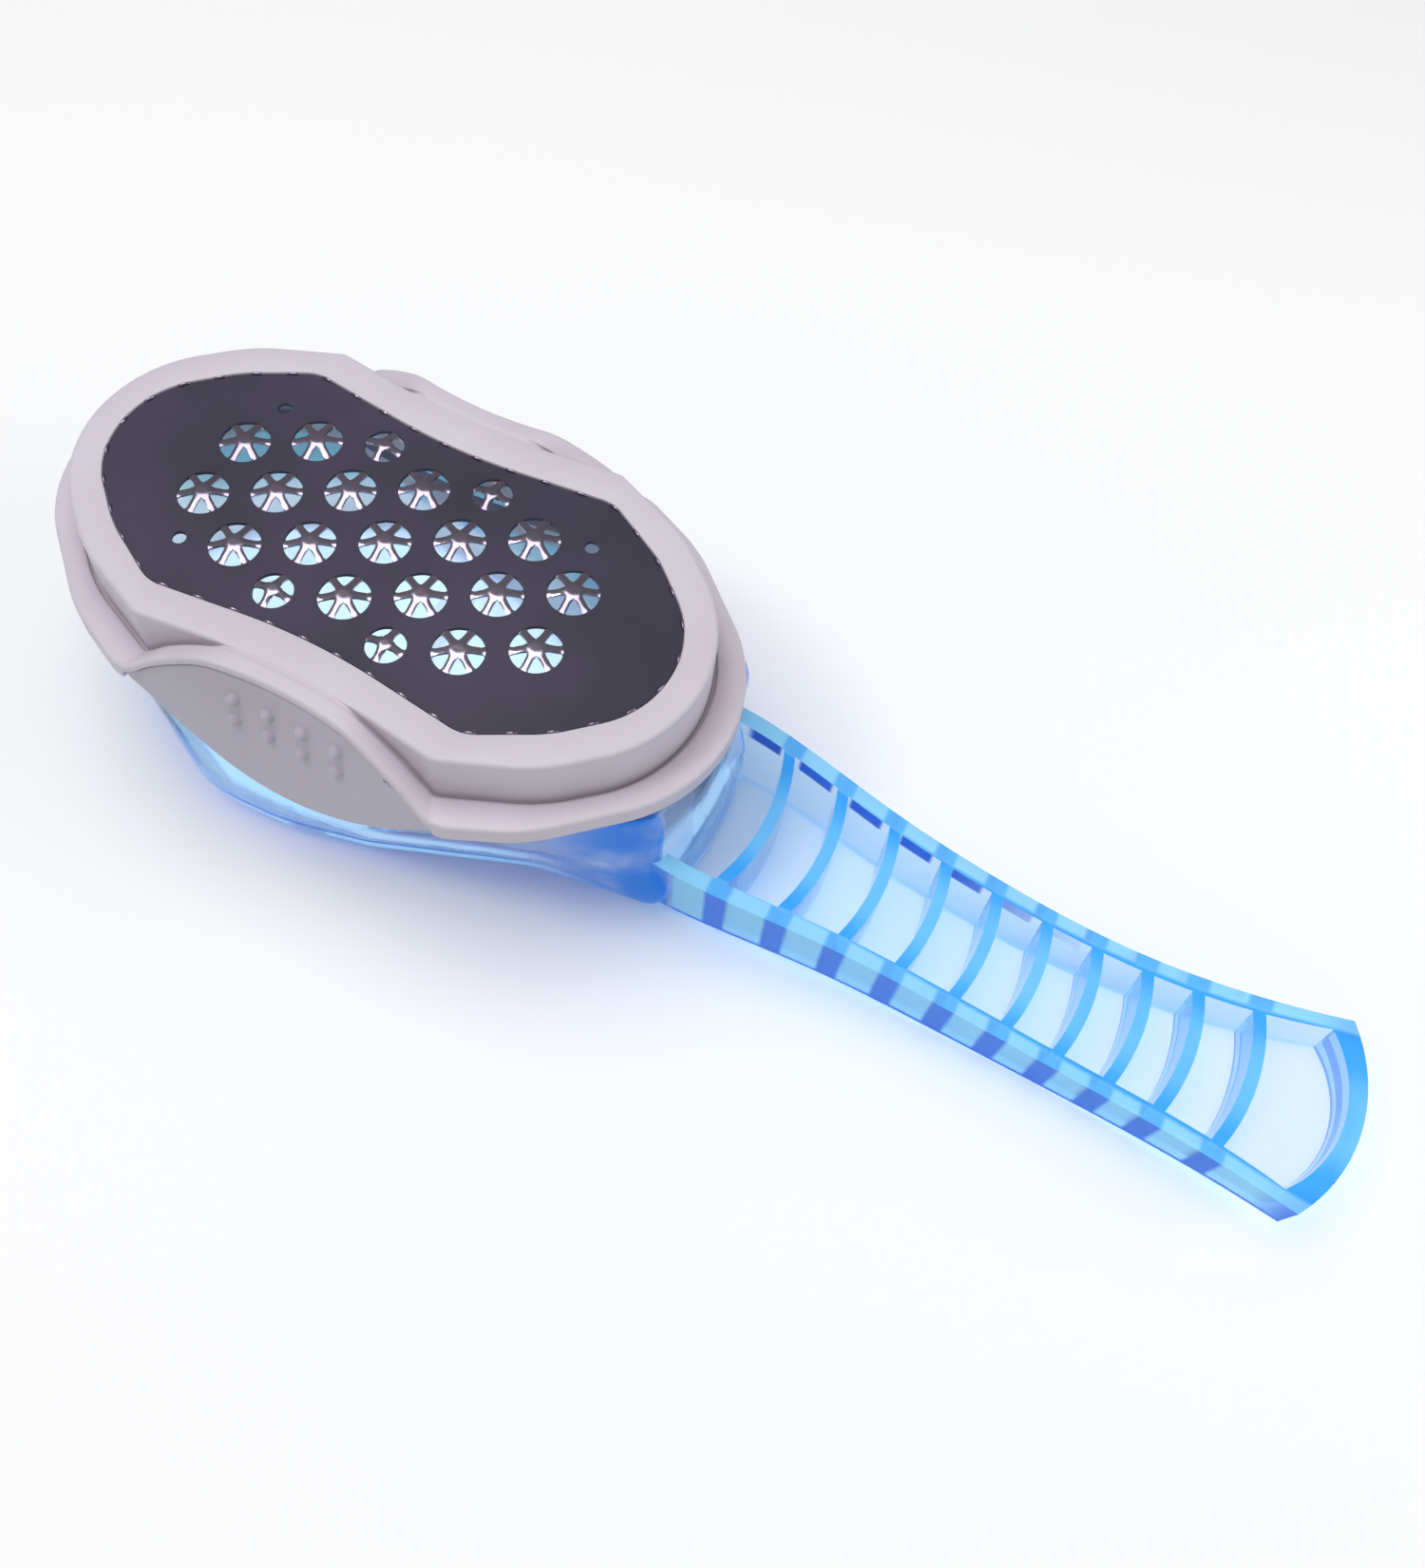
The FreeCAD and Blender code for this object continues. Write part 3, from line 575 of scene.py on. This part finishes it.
def make_plate():
    """The dark pressed sheet, with a scalloped edge and a round hole for each flower and vent."""
    large, small = flower_places()
    holes = [circle(place, LARGE_RADIUS, 48) for place in large]
    holes += [circle(place, SMALL_RADIUS, 40) for place in small]
    holes += [circle(place, VENT_RADIUS, 24) for place in on_lattice(VENTS)]
    verts, faces = fill_flat(scalloped(plate_outline()), holes)
    verts, faces = thicken(verts, faces, lowered(PLATE_THICKNESS))
    return mesh_object("rasp_sheet", verts, faces, 30.0)


def add_bump(verts, faces, middle, ahead):
    """A closed lens-shaped bump, longer along the edge than across it."""
    inwards = Vector((-ahead.y, ahead.x))
    base = len(verts)
    around, levels = BURR_GRID
    for level in range(levels + 1):
        lift = pi / 2 * level / levels
        spread = cos(lift) ** 0.7
        for k in range(around):
            angle = 2 * pi * k / around
            place = middle + ahead * (BURR_LENGTH / 2 * cos(angle) * spread)
            place = place + inwards * (BURR_WIDTH / 2 * (sin(angle) * spread) + 0.05)
            verts.append((place.x, place.y, BURR_ROOT + (BURR_RISE - BURR_ROOT) * sin(lift)))
    for level in range(levels):
        for k in range(around):
            a = base + level * around + k
            b = base + level * around + (k + 1) % around
            faces.append((a, b, b + around, a + around))
    faces.append(tuple(base + k for k in reversed(range(around))))


def make_burrs():
    """Small raised burrs round the plate's edge, over the bites."""
    outline = plate_outline()
    lengths, total = path_lengths(outline)
    count = round(total / BURR_PITCH)
    verts, faces = [], []
    for n in range(count):
        target = total * (n + 0.5) / count
        k = max(i for i, along in enumerate(lengths) if along <= target)
        ahead = (outline[(k + 1) % len(outline)] - outline[k]).normalized()
        add_bump(verts, faces, outline[k] + ahead * (target - lengths[k]), ahead)
    return mesh_object("edge_burrs", verts, faces, 60.0)


def dome_height(share):
    """Height of a flower over the sheet, from its centre to its rim."""
    rise = 1 - smooth_step(0.18, 1.05, share)
    return -RIM_SINK + (HUB_RISE + RIM_SINK) * rise


def spoke_points(centre, middle, half_full, radius, hub):
    """A grid of points over one spoke and its share of the hub, from the centre outwards."""
    along, across = SPOKE_GRID
    points = []
    for i in range(along + 1):
        reach = (radius + SPOKE_OVERLAP) * (i / along) ** 0.9 + 0.02
        width = SPOKE_WIDTH + SPOKE_FLARE * smooth_step(radius - 0.55, radius + SPOKE_OVERLAP, reach)
        share = smooth_step(hub - 0.15, hub + 0.35, reach)
        half = min(half_full, half_full * (1 - share) + width / 2 / reach * share)
        for j in range(across + 1):
            offset = 2 * j / across - 1
            angle = middle + half * offset
            height = dome_height(reach / radius) - SPOKE_CURL * share * offset ** 2
            points.append((centre[0] + reach * cos(angle), centre[1] + reach * sin(angle), height))
    return points


def merged_points(points):
    """The points without repeats, and each old point's place among them."""
    merged, places, seen = [], [], {}
    for point in points:
        key = tuple(round(v, 4) for v in point)
        if key not in seen:
            seen[key] = len(merged)
            merged.append(point)
        places.append(seen[key])
    return merged, places


def add_flower(verts, faces, centre, petals, first_angle, radius, hub):
    """A domed hub held by spokes, thickened downwards."""
    along, across = SPOKE_GRID
    grid = (along + 1) * (across + 1)
    sheet, tiles = [], []
    for spoke in range(petals):
        middle = first_angle + 2 * pi * spoke / petals
        sheet += spoke_points(centre, middle, pi / petals, radius, hub)
        tiles += grid_faces(spoke * grid, along, across)
    merged, places = merged_points(sheet)
    tiles = [tuple(places[i] for i in tile) for tile in tiles]
    eye = {places[spoke * grid + j] for spoke in range(petals) for j in range(across + 1)}
    tiles.append(tuple(sorted(eye, key=lambda i: atan2(merged[i][1] - centre[1], merged[i][0] - centre[0]))))
    solid, shell = thicken(merged, tiles, lowered(SPOKE_THICKNESS))
    offset = len(verts)
    verts.extend(solid)
    faces.extend(tuple(i + offset for i in face) for face in shell)


def make_flowers():
    """All the cutting flowers of the plate."""
    verts, faces = [], []
    large, small = flower_places()
    for centre in large:
        add_flower(verts, faces, centre, 6, pi / 6, LARGE_RADIUS, LARGE_HUB)
    for centre in small:
        add_flower(verts, faces, centre, 4, 0.0, SMALL_RADIUS, SMALL_HUB)
    return mesh_object("rasp_flowers", verts, faces, 55.0)


# ---------------------------------------------------------------- shader helpers

class Nodes:
    """A short way to add shader nodes to a tree and join them."""

    def __init__(self, tree):
        self.tree = tree

    def feed(self, node, inputs):
        """Link or set some of a node's inputs."""
        for key, value in inputs.items():
            if isinstance(value, bpy.types.NodeSocket):
                self.tree.links.new(value, node.inputs[key])
            else:
                node.inputs[key].default_value = value

    def add(self, kind, inputs=None, **settings):
        """A new node with its settings made and its inputs linked or set."""
        made = self.tree.nodes.new(kind)
        for name, value in settings.items():
            setattr(made, name, value)
        self.feed(made, inputs or {})
        return made

    def math(self, operation, first, second=0.0):
        """One sum of two values."""
        return self.add("ShaderNodeMath", {0: first, 1: second}, operation=operation).outputs[0]

    def product(self, *factors):
        """All the factors multiplied."""
        result = factors[0]
        for factor in factors[1:]:
            result = self.math("MULTIPLY", result, factor)
        return result

    def largest(self, *values):
        """The largest of the values."""
        result = values[0]
        for value in values[1:]:
            result = self.math("MAXIMUM", result, value)
        return result

    def opposite(self, value):
        """1 where the value is 0, and 0 where it is 1."""
        return self.math("SUBTRACT", 1.0, value)

    def ramp(self, value, low, high):
        """0 at low, 1 at high, with an easy curve between."""
        made = self.add("ShaderNodeMapRange", {"Value": value, "From Min": low, "From Max": high},
                        interpolation_type="SMOOTHSTEP")
        return made.outputs["Result"]

    def ramp_mm(self, value, low, high):
        """The same ramp, for a value in metres and limits in millimetres."""
        return self.ramp(value, low * MM, high * MM)

    def spread(self, value, low, high):
        """A value from 0..1 stretched over low..high."""
        made = self.add("ShaderNodeMapRange", {"Value": value, "To Min": low, "To Max": high})
        return made.outputs["Result"]

    def mix(self, share, first, second):
        """A colour between two colours."""
        made = self.add("ShaderNodeMix", {"Factor": share}, data_type="RGBA")
        for index, value in ((6, first), (7, second)):
            if isinstance(value, tuple):
                value = (*value, 1)
            self.feed(made, {index: value})
        return made.outputs[2]

    def two_tone(self, value, low, high):
        """A straight ramp between two colours."""
        made = self.add("ShaderNodeValToRGB", {"Fac": value})
        for element, position, colour in zip(made.color_ramp.elements, (0.3, 0.7), (low, high)):
            element.position = position
            element.color = (*colour, 1)
        return made.outputs["Color"]

    def noise(self, vector, scale, detail):
        """A soft noise value."""
        made = self.add("ShaderNodeTexNoise", {"Vector": vector, "Scale": scale, "Detail": detail})
        return made.outputs["Fac"]

    def bump(self, height, strength, distance):
        """A normal from a height."""
        made = self.add("ShaderNodeBump", {"Height": height, "Strength": strength, "Distance": distance})
        return made.outputs["Normal"]

    def curve(self, value, points):
        """A smooth curve through a few points, from 0..1 to 0..1."""
        made = self.add("ShaderNodeFloatCurve", {"Value": value})
        line = made.mapping.curves[0]
        line.points[0].location = points[0]
        line.points[-1].location = points[-1]
        for point in points[1:-1]:
            line.points.new(*point)
        made.mapping.update()
        return made.outputs["Value"]


def new_material(name):
    """An empty node material, its nodes and its Principled shader."""
    material = bpy.data.materials.new(name)
    material.use_nodes = True
    return material, Nodes(material.node_tree), material.node_tree.nodes["Principled BSDF"]


# ---------------------------------------------------------------- plain materials

def satin_plastic(name, low, high, roughness):
    """Moulded satin plastic: slow colour drift, a fine spark-eroded grain and uneven gloss."""
    material, nodes, shader = new_material(name)
    place = nodes.add("ShaderNodeTexCoord").outputs["Object"]
    drift = nodes.noise(place, 45.0, 3.0)
    grain = nodes.noise(place, 2600.0, 2.0)
    nodes.feed(shader, {"Base Color": nodes.two_tone(drift, low, high),
                        "Roughness": nodes.spread(drift, roughness - 0.05, roughness + 0.07),
                        "Normal": nodes.bump(grain, 0.12, 0.00004)})
    return material


def pressed_metal(name, low, high, metallic, roughness, gloss_level):
    """Sheet metal with a fine directional grain and an uneven finish."""
    material, nodes, shader = new_material(name)
    place = nodes.add("ShaderNodeTexCoord").outputs["Object"]
    stretched = nodes.add("ShaderNodeMapping", {"Vector": place, "Scale": (60.0, 900.0, 400.0)})
    grain = nodes.noise(stretched.outputs["Vector"], 4.0, 4.0)
    cloud = nodes.noise(place, 30.0, 4.0)
    nodes.feed(shader, {"Base Color": nodes.mix(nodes.ramp(cloud, 0.3, 0.7), low, high),
                        "Roughness": nodes.spread(grain, roughness - 0.08, roughness + 0.08),
                        "Normal": nodes.bump(grain, 0.2, 0.00001),
                        "Metallic": metallic, "Specular IOR Level": gloss_level})
    return material


# ---------------------------------------------------------------- clear plastic

def profile_height(nodes, along, points):
    """A shader value: the height in metres of one of the handle's side curves at a place along it."""
    start, span = points[0][0], points[-1][0] - points[0][0]
    scaled = nodes.math("DIVIDE", nodes.math("SUBTRACT", along, (start + PLATE_X) * MM), span * MM)
    curve = nodes.curve(scaled, [((x - start) / span, (PLATE_Z - depth) / CURVE_SCALE)
                                 for x, depth in points])
    return nodes.math("MULTIPLY", curve, CURVE_SCALE * MM)


def rib_mask(nodes, along):
    """1 near any of the ribs' places along the handle, 0 between them."""
    nearest = None
    place = FIRST_RIB
    for index in range(RIB_COUNT):
        extra = LAST_RIB_EXTRA if index == RIB_COUNT - 1 else 0.0
        away = nodes.math("ABSOLUTE", nodes.math("SUBTRACT", along, (place + extra + PLATE_X) * MM))
        nearest = away if nearest is None else nodes.math("MINIMUM", nearest, away)
        place += RIB_PITCH - index * RIB_PITCH_CHANGE
    return nodes.ramp_mm(nearest, RIB_HALF + RIB_BLUR, RIB_HALF - RIB_BLUR)


def past(nodes, along, start, end):
    """0 at one place along the tool and 1 at another, both in the plate's frame."""
    return nodes.ramp_mm(along, start + PLATE_X, end + PLATE_X)


def tray_areas(nodes, spot, facing):
    """The tray's areas by name, as shader values from 0 to 1."""
    x, z = spot["X"], spot["Z"]
    half_width = nodes.math("ABSOLUTE", spot["Y"])
    over_rail = nodes.math("SUBTRACT", z, profile_height(nodes, x, RAIL))
    over_belly = nodes.math("SUBTRACT", z, profile_height(nodes, x, BELLY))
    side = nodes.math("SUBTRACT", PLATE_Z * MM, profile_height(nodes, x, SIDE))
    from_side = nodes.math("SUBTRACT", half_width, side)
    on_handle = past(nodes, x, 50.8, 52.4)
    off_handle = nodes.opposite(on_handle)
    at_rails = past(nodes, x, 48.0, 49.0)
    off_rails = nodes.opposite(at_rails)
    upward = nodes.ramp(facing["Z"], 0.75, 0.92)
    sideways = nodes.ramp(nodes.math("ABSOLUTE", facing["Z"]), 0.5, 0.25)
    lengthways = nodes.ramp(nodes.math("ABSOLUTE", facing["X"]), 0.6, 0.8)
    away = nodes.math("MULTIPLY", facing["Y"], nodes.math("SIGN", spot["Y"]))
    outward = nodes.ramp(away, 0.1, 0.5)
    inward = nodes.ramp(away, -0.5, -0.8)
    ribs = rib_mask(nodes, x)
    tops = nodes.product(upward, nodes.ramp_mm(over_rail, -0.7, -0.4), at_rails)
    rails = nodes.ramp_mm(from_side, -3.0, -2.2)
    skirt = nodes.product(outward, sideways, on_handle)
    rib_sides = nodes.product(lengthways, sideways, on_handle)
    neck = nodes.product(outward, past(nodes, x, 24, 44), off_handle)
    end_wall = nodes.product(sideways, nodes.largest(outward, nodes.ramp(facing["X"], 0.2, 0.6)))
    at_end = nodes.product(past(nodes, x, 136, 142), nodes.ramp_mm(half_width, 9.5, 13.5))
    # Painted shade in strong blue: under the rails, along the belly, on the bowl's downward faces and at the
    # corners.
    pill = nodes.product(inward, nodes.ramp_mm(over_rail, -2.4, -1.9), nodes.opposite(ribs), on_handle,
                         past(nodes, x, 112, 84))
    foot = nodes.product(skirt, nodes.ramp_mm(over_belly, 1.4, 0.7))
    turn = nodes.product(nodes.ramp(facing["Z"], -0.22, -0.40), nodes.ramp(facing["Z"], -0.9, -0.75),
                         off_handle)
    corner = nodes.product(at_end, nodes.largest(end_wall, nodes.product(tops, 0.35)))
    rib_foot = nodes.product(rib_sides, nodes.ramp_mm(over_belly, 2.2, 1.9), 0.6)
    return {
        "tops": tops,
        "rails": rails,
        "rib_ends": nodes.ramp_mm(half_width, 3, 9),
        "rail_joints": nodes.product(tops, rails, ribs),
        "skirt": skirt,
        "joints": nodes.product(skirt, ribs),
        "rib_sides": rib_sides,
        "floor": nodes.product(upward, nodes.ramp_mm(over_belly, 2.0, 1.6), on_handle),
        # Painted light: the bowl's floor tinted pale and made to glow.
        "bowl_floor_painted_light": nodes.product(nodes.ramp(facing["Z"], 0.35, 0.8), off_rails,
                                    nodes.ramp_mm(z, 20, 14)),
        # Painted shade: the bowl's inner walls tinted teal, as if in shadow.
        "bowl_wall_painted_shade": nodes.product(nodes.ramp(away, -0.05, -0.85), off_rails,
                                   nodes.ramp_mm(z, 10, 22)),
        "neck": neck,
        "painted_shade_blue": nodes.largest(pill, foot, turn, corner, rib_foot),
    }


def tray_colour(nodes, areas, drift):
    """The tray's colour: the clear body and its rails and ribs, then the tints over them, painted shade and
    painted light among them.
    """
    rib_middle = nodes.mix(drift, *RIB_BLUE)
    rib_colour = nodes.mix(areas["rib_ends"], rib_middle, RIB_END_BLUE)
    top_colour = nodes.mix(areas["rails"], rib_colour, nodes.mix(drift, *RAIL_BLUE))
    colour = nodes.mix(areas["tops"], nodes.mix(drift, *CLEAR), top_colour)
    for area, strength, tint in TINTS:
        colour = nodes.mix(nodes.product(areas[area], strength), colour, tint)
    return colour


def clear_plastic():
    """Tinted clear polystyrene: deeper where light runs along a wall, and pale lit edges, with painted shade
    in strong blue, painted teal shade on the bowl's walls and a painted glow on its floor.
    """
    material, nodes, shader = new_material("clear_blue")
    place = nodes.add("ShaderNodeTexCoord").outputs
    spot = nodes.add("ShaderNodeSeparateXYZ", {"Vector": place["Object"]}).outputs
    facing = nodes.add("ShaderNodeSeparateXYZ", {"Vector": place["Normal"]}).outputs
    drift = nodes.noise(place["Object"], 60.0, 3.0)
    areas = tray_areas(nodes, spot, facing)
    areas["neck_cloud"] = nodes.product(areas["neck"], nodes.ramp(drift, 0.1, 0.5))
    colour = tray_colour(nodes, areas, drift)
    solid = nodes.largest(*[nodes.product(areas[area], share) for area, share in SCATTER])
    ripple = nodes.noise(place["Object"], 220.0, 2.0)
    nodes.feed(shader, {"Base Color": colour,
                        "Transmission Weight": nodes.math("SUBTRACT", CLEARNESS, solid),
                        # The bowl's floor glows though no lamp is there: painted light.
                        "Emission Color": colour,
                        "Emission Strength": nodes.product(areas["bowl_floor_painted_light"], BOWL_PAINTED_GLOW),
                        "Normal": nodes.bump(ripple, 0.05, 0.0002),
                        "Roughness": 0.08, "IOR": 1.22, "Specular IOR Level": 0.3})
    let_through = nodes.add("ShaderNodeBsdfTransparent", {"Color": LAMP_TINT})
    lamp_ray = nodes.add("ShaderNodeLightPath").outputs["Is Shadow Ray"]
    surface = nodes.add("ShaderNodeMixShader", {0: lamp_ray, 1: shader.outputs["BSDF"],
                                                2: let_through.outputs["BSDF"]})
    volume = nodes.add("ShaderNodeVolumeAbsorption", {"Color": DEPTH_TINT, "Density": DEPTH_DENSITY})
    nodes.feed(nodes.tree.nodes["Material Output"], {"Surface": surface.outputs["Shader"],
                                                     "Volume": volume.outputs["Volume"]})
    return material


# ---------------------------------------------------------------- build

def assign(obj, material):
    """Give every slot of an object the one material."""
    if not obj.material_slots:
        obj.data.materials.append(material)
    for entry in obj.material_slots:
        entry.material = material


def add_piece(piece, material, slot, body, *replaced):
    """Finish a piece: its material, its slot (not used), the body it rides on and what it stands for."""
    assign(piece, material)
    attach(piece, body)
    if replaced:
        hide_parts(*replaced)


frame_plastic = satin_plastic("frame_satin", (0.54, 0.493, 0.555), (0.585, 0.538, 0.605), 0.5)
# The tabs' colour is the frame's plastic made darker: painted shade.
tab_plastic = satin_plastic("tab_satin_painted_shade", (0.42, 0.395, 0.46), (0.465, 0.44, 0.515), 0.5)
dark_coat = pressed_metal("dark_coat", (0.036, 0.032, 0.054), (0.058, 0.048, 0.078), 0.0, 0.5, 0.2)
bright_metal = pressed_metal("bright_metal", (0.25, 0.21, 0.28), (0.36, 0.31, 0.39), 1.0, 0.17, 0.5)

add_piece(make_head_frame(), frame_plastic, "frame_plastic", "head", "head_frame")
add_piece(make_plug(), frame_plastic, "frame_plastic", "head")
add_piece(make_tab("tab_near", -1), tab_plastic, "tab_plastic", "tab_left", "release_tab_left")
add_piece(make_tab("tab_far", 1), tab_plastic, "tab_plastic", "tab_right", "release_tab_right")
add_piece(make_plate(), dark_coat, "rasp_metal", "head", "rasp_plate")
add_piece(make_flowers(), bright_metal, "rasp_metal", "head")
add_piece(make_burrs(), bright_metal, "rasp_metal", "head")
assign(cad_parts["handle_tray"], clear_plastic())


# ---------------------------------------------------------------- stage, light and camera

def make_floor(half):
    """A plain pale floor."""
    mesh = bpy.data.meshes.new("floor")
    mesh.from_pydata([(-half, -half, 0), (half, -half, 0), (half, half, 0), (-half, half, 0)], [],
                     [(0, 1, 2, 3)])
    floor = link(bpy.data.objects.new("floor", mesh))
    material, nodes, shader = new_material("floor_white")
    nodes.feed(shader, {"Base Color": (0.93, 0.93, 0.93, 1), "Roughness": 0.9})
    assign(floor, material)


def area_light(name, place, aim, size, watts):
    """A soft square lamp aimed at a point."""
    data = bpy.data.lights.new(name, "AREA")
    data.size = size
    data.energy = watts
    lamp = link(bpy.data.objects.new(name, data))
    lamp.location = place
    lamp.rotation_euler = (Vector(aim) - Vector(place)).to_track_quat("-Z", "Y").to_euler()


def make_world():
    """A pale surround, a little brighter on the near side."""
    world = bpy.data.worlds.new("surround")
    world.use_nodes = True
    nodes = Nodes(world.node_tree)
    place = nodes.add("ShaderNodeTexCoord").outputs["Generated"]
    split = nodes.add("ShaderNodeSeparateXYZ", {"Vector": place}).outputs
    fade = nodes.add("ShaderNodeMapRange", {"Value": split["Y"], "From Min": -0.8, "From Max": 0.8,
                                            "To Min": 0.42, "To Max": 0.30}).outputs["Result"]
    nodes.feed(world.node_tree.nodes["Background"], {"Strength": fade, "Color": (0.97, 0.985, 1.0, 1)})
    bpy.context.scene.world = world


def make_camera():
    """The camera: its place, its three axes and its lens."""
    data = bpy.data.cameras.new("camera")
    camera = link(bpy.data.objects.new("camera", data))
    right = (0.88154, 0.471754, 0.018312)
    up = (-0.413856, 0.753521, 0.510813)
    back = (0.227179, -0.457881, 0.859497)
    place = Matrix((right, up, back)).transposed().to_4x4()
    place.translation = to_frame((79.606, -94.908, 172.16))
    camera.matrix_world = place
    data.sensor_width = 36.0
    data.lens = 35.978
    data.shift_x = 0.07273
    data.shift_y = -0.07576
    data.clip_start = 0.01
    bpy.context.scene.camera = camera


make_floor(6.0)
make_world()
area_light("key", (-0.16, -0.02, 0.80), (-0.02, 0, 0.02), 0.6, 4.0)
area_light("side", (0.45, 0.14, 0.27), (-0.02, 0, 0.03), 0.3, 0.7)
area_light("sparkle", (-0.33, -0.24, 0.68), (-0.05, 0, 0.04), 0.12, 0.7)
make_camera()
bpy.context.scene.view_settings.view_transform = "Standard"
